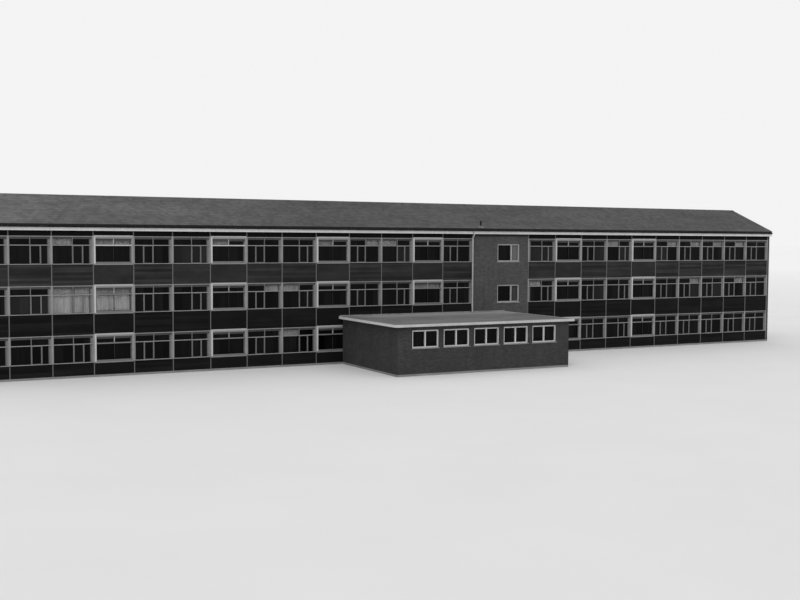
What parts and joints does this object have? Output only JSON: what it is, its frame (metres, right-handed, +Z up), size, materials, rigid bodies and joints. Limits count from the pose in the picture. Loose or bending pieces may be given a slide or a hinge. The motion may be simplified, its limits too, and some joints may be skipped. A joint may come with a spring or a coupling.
{
  "type": "school building, 1:2 scale model",
  "caption": "Three-storey school building, half size: window walls between slim mullions, brick stair tower, low gabled roof and a flat-roofed single-storey block in front.",
  "frame": {"origin": "on the ground below the middle of the ridge, on the underside of the ground floor slab", "axes": "+X along the front to the right, the front faces -Y, +Z up"},
  "size_m": [35.9756, 9.752, 6.2904],
  "materials": {
    "concrete": "cast concrete, matt",
    "brick": "dark grey brick with flush joints",
    "mullion_paint": "satin grey paint, weathered",
    "panel": "dark ribbed sheet, satin",
    "window_glass": "clear window glass",
    "white_paint": "white gloss paint, weathered",
    "door_paint": "dark painted timber",
    "timber": "sawn timber",
    "soffit_board": "dark painted board",
    "roof_tile": "matt interlocking roof tiles",
    "dark_metal": "dark painted rainwater goods",
    "roof_felt": "grey chippings on roofing felt"
  },
  "bodies": {
    "root": {"ground_floor_slab": "concrete", "first_floor_slab": "concrete", "second_floor_slab": "concrete", "ceiling_slab": "concrete", "front_left_frame": "concrete", "front_right_frame": "concrete", "rear_left_frame": "concrete", "rear_right_frame": "concrete", "block_floor_slab": "concrete", "left_gable_wall": "brick", "right_gable_wall": "brick", "tower_front_wall": "brick", "tower_rear_wall": "brick", "block_left_wall": "brick", "block_front_wall": "brick", "block_right_wall": "brick", "front_left_mullions": "mullion_paint", "front_right_mullions": "mullion_paint", "rear_left_mullions": "mullion_paint", "rear_right_mullions": "mullion_paint", "base_panels": "panel", "storey_panels": "panel", "eaves_panels": "panel", "ground_floor_glass": "window_glass", "first_floor_glass": "window_glass", "second_floor_glass": "window_glass", "tower_window_glass": "window_glass", "block_window_glass": "window_glass", "box_windows": "white_paint", "tower_window_frames": "white_paint", "block_window_frames": "white_paint", "fascia_boards": "white_paint", "left_bargeboard": "white_paint", "right_bargeboard": "white_paint", "block_fascia": "white_paint", "entrance_frame": "white_paint", "downpipes": "white_paint", "entrance_doors": "door_paint", "wall_plates": "timber", "eaves_soffits": "soffit_board", "front_roof_slope": "roof_tile", "rear_roof_slope": "roof_tile", "ridge_capping": "roof_tile", "front_gutter": "dark_metal", "rear_gutter": "dark_metal", "roof_vent": "dark_metal", "block_roof": "roof_felt"}
  },
  "joints": []
}
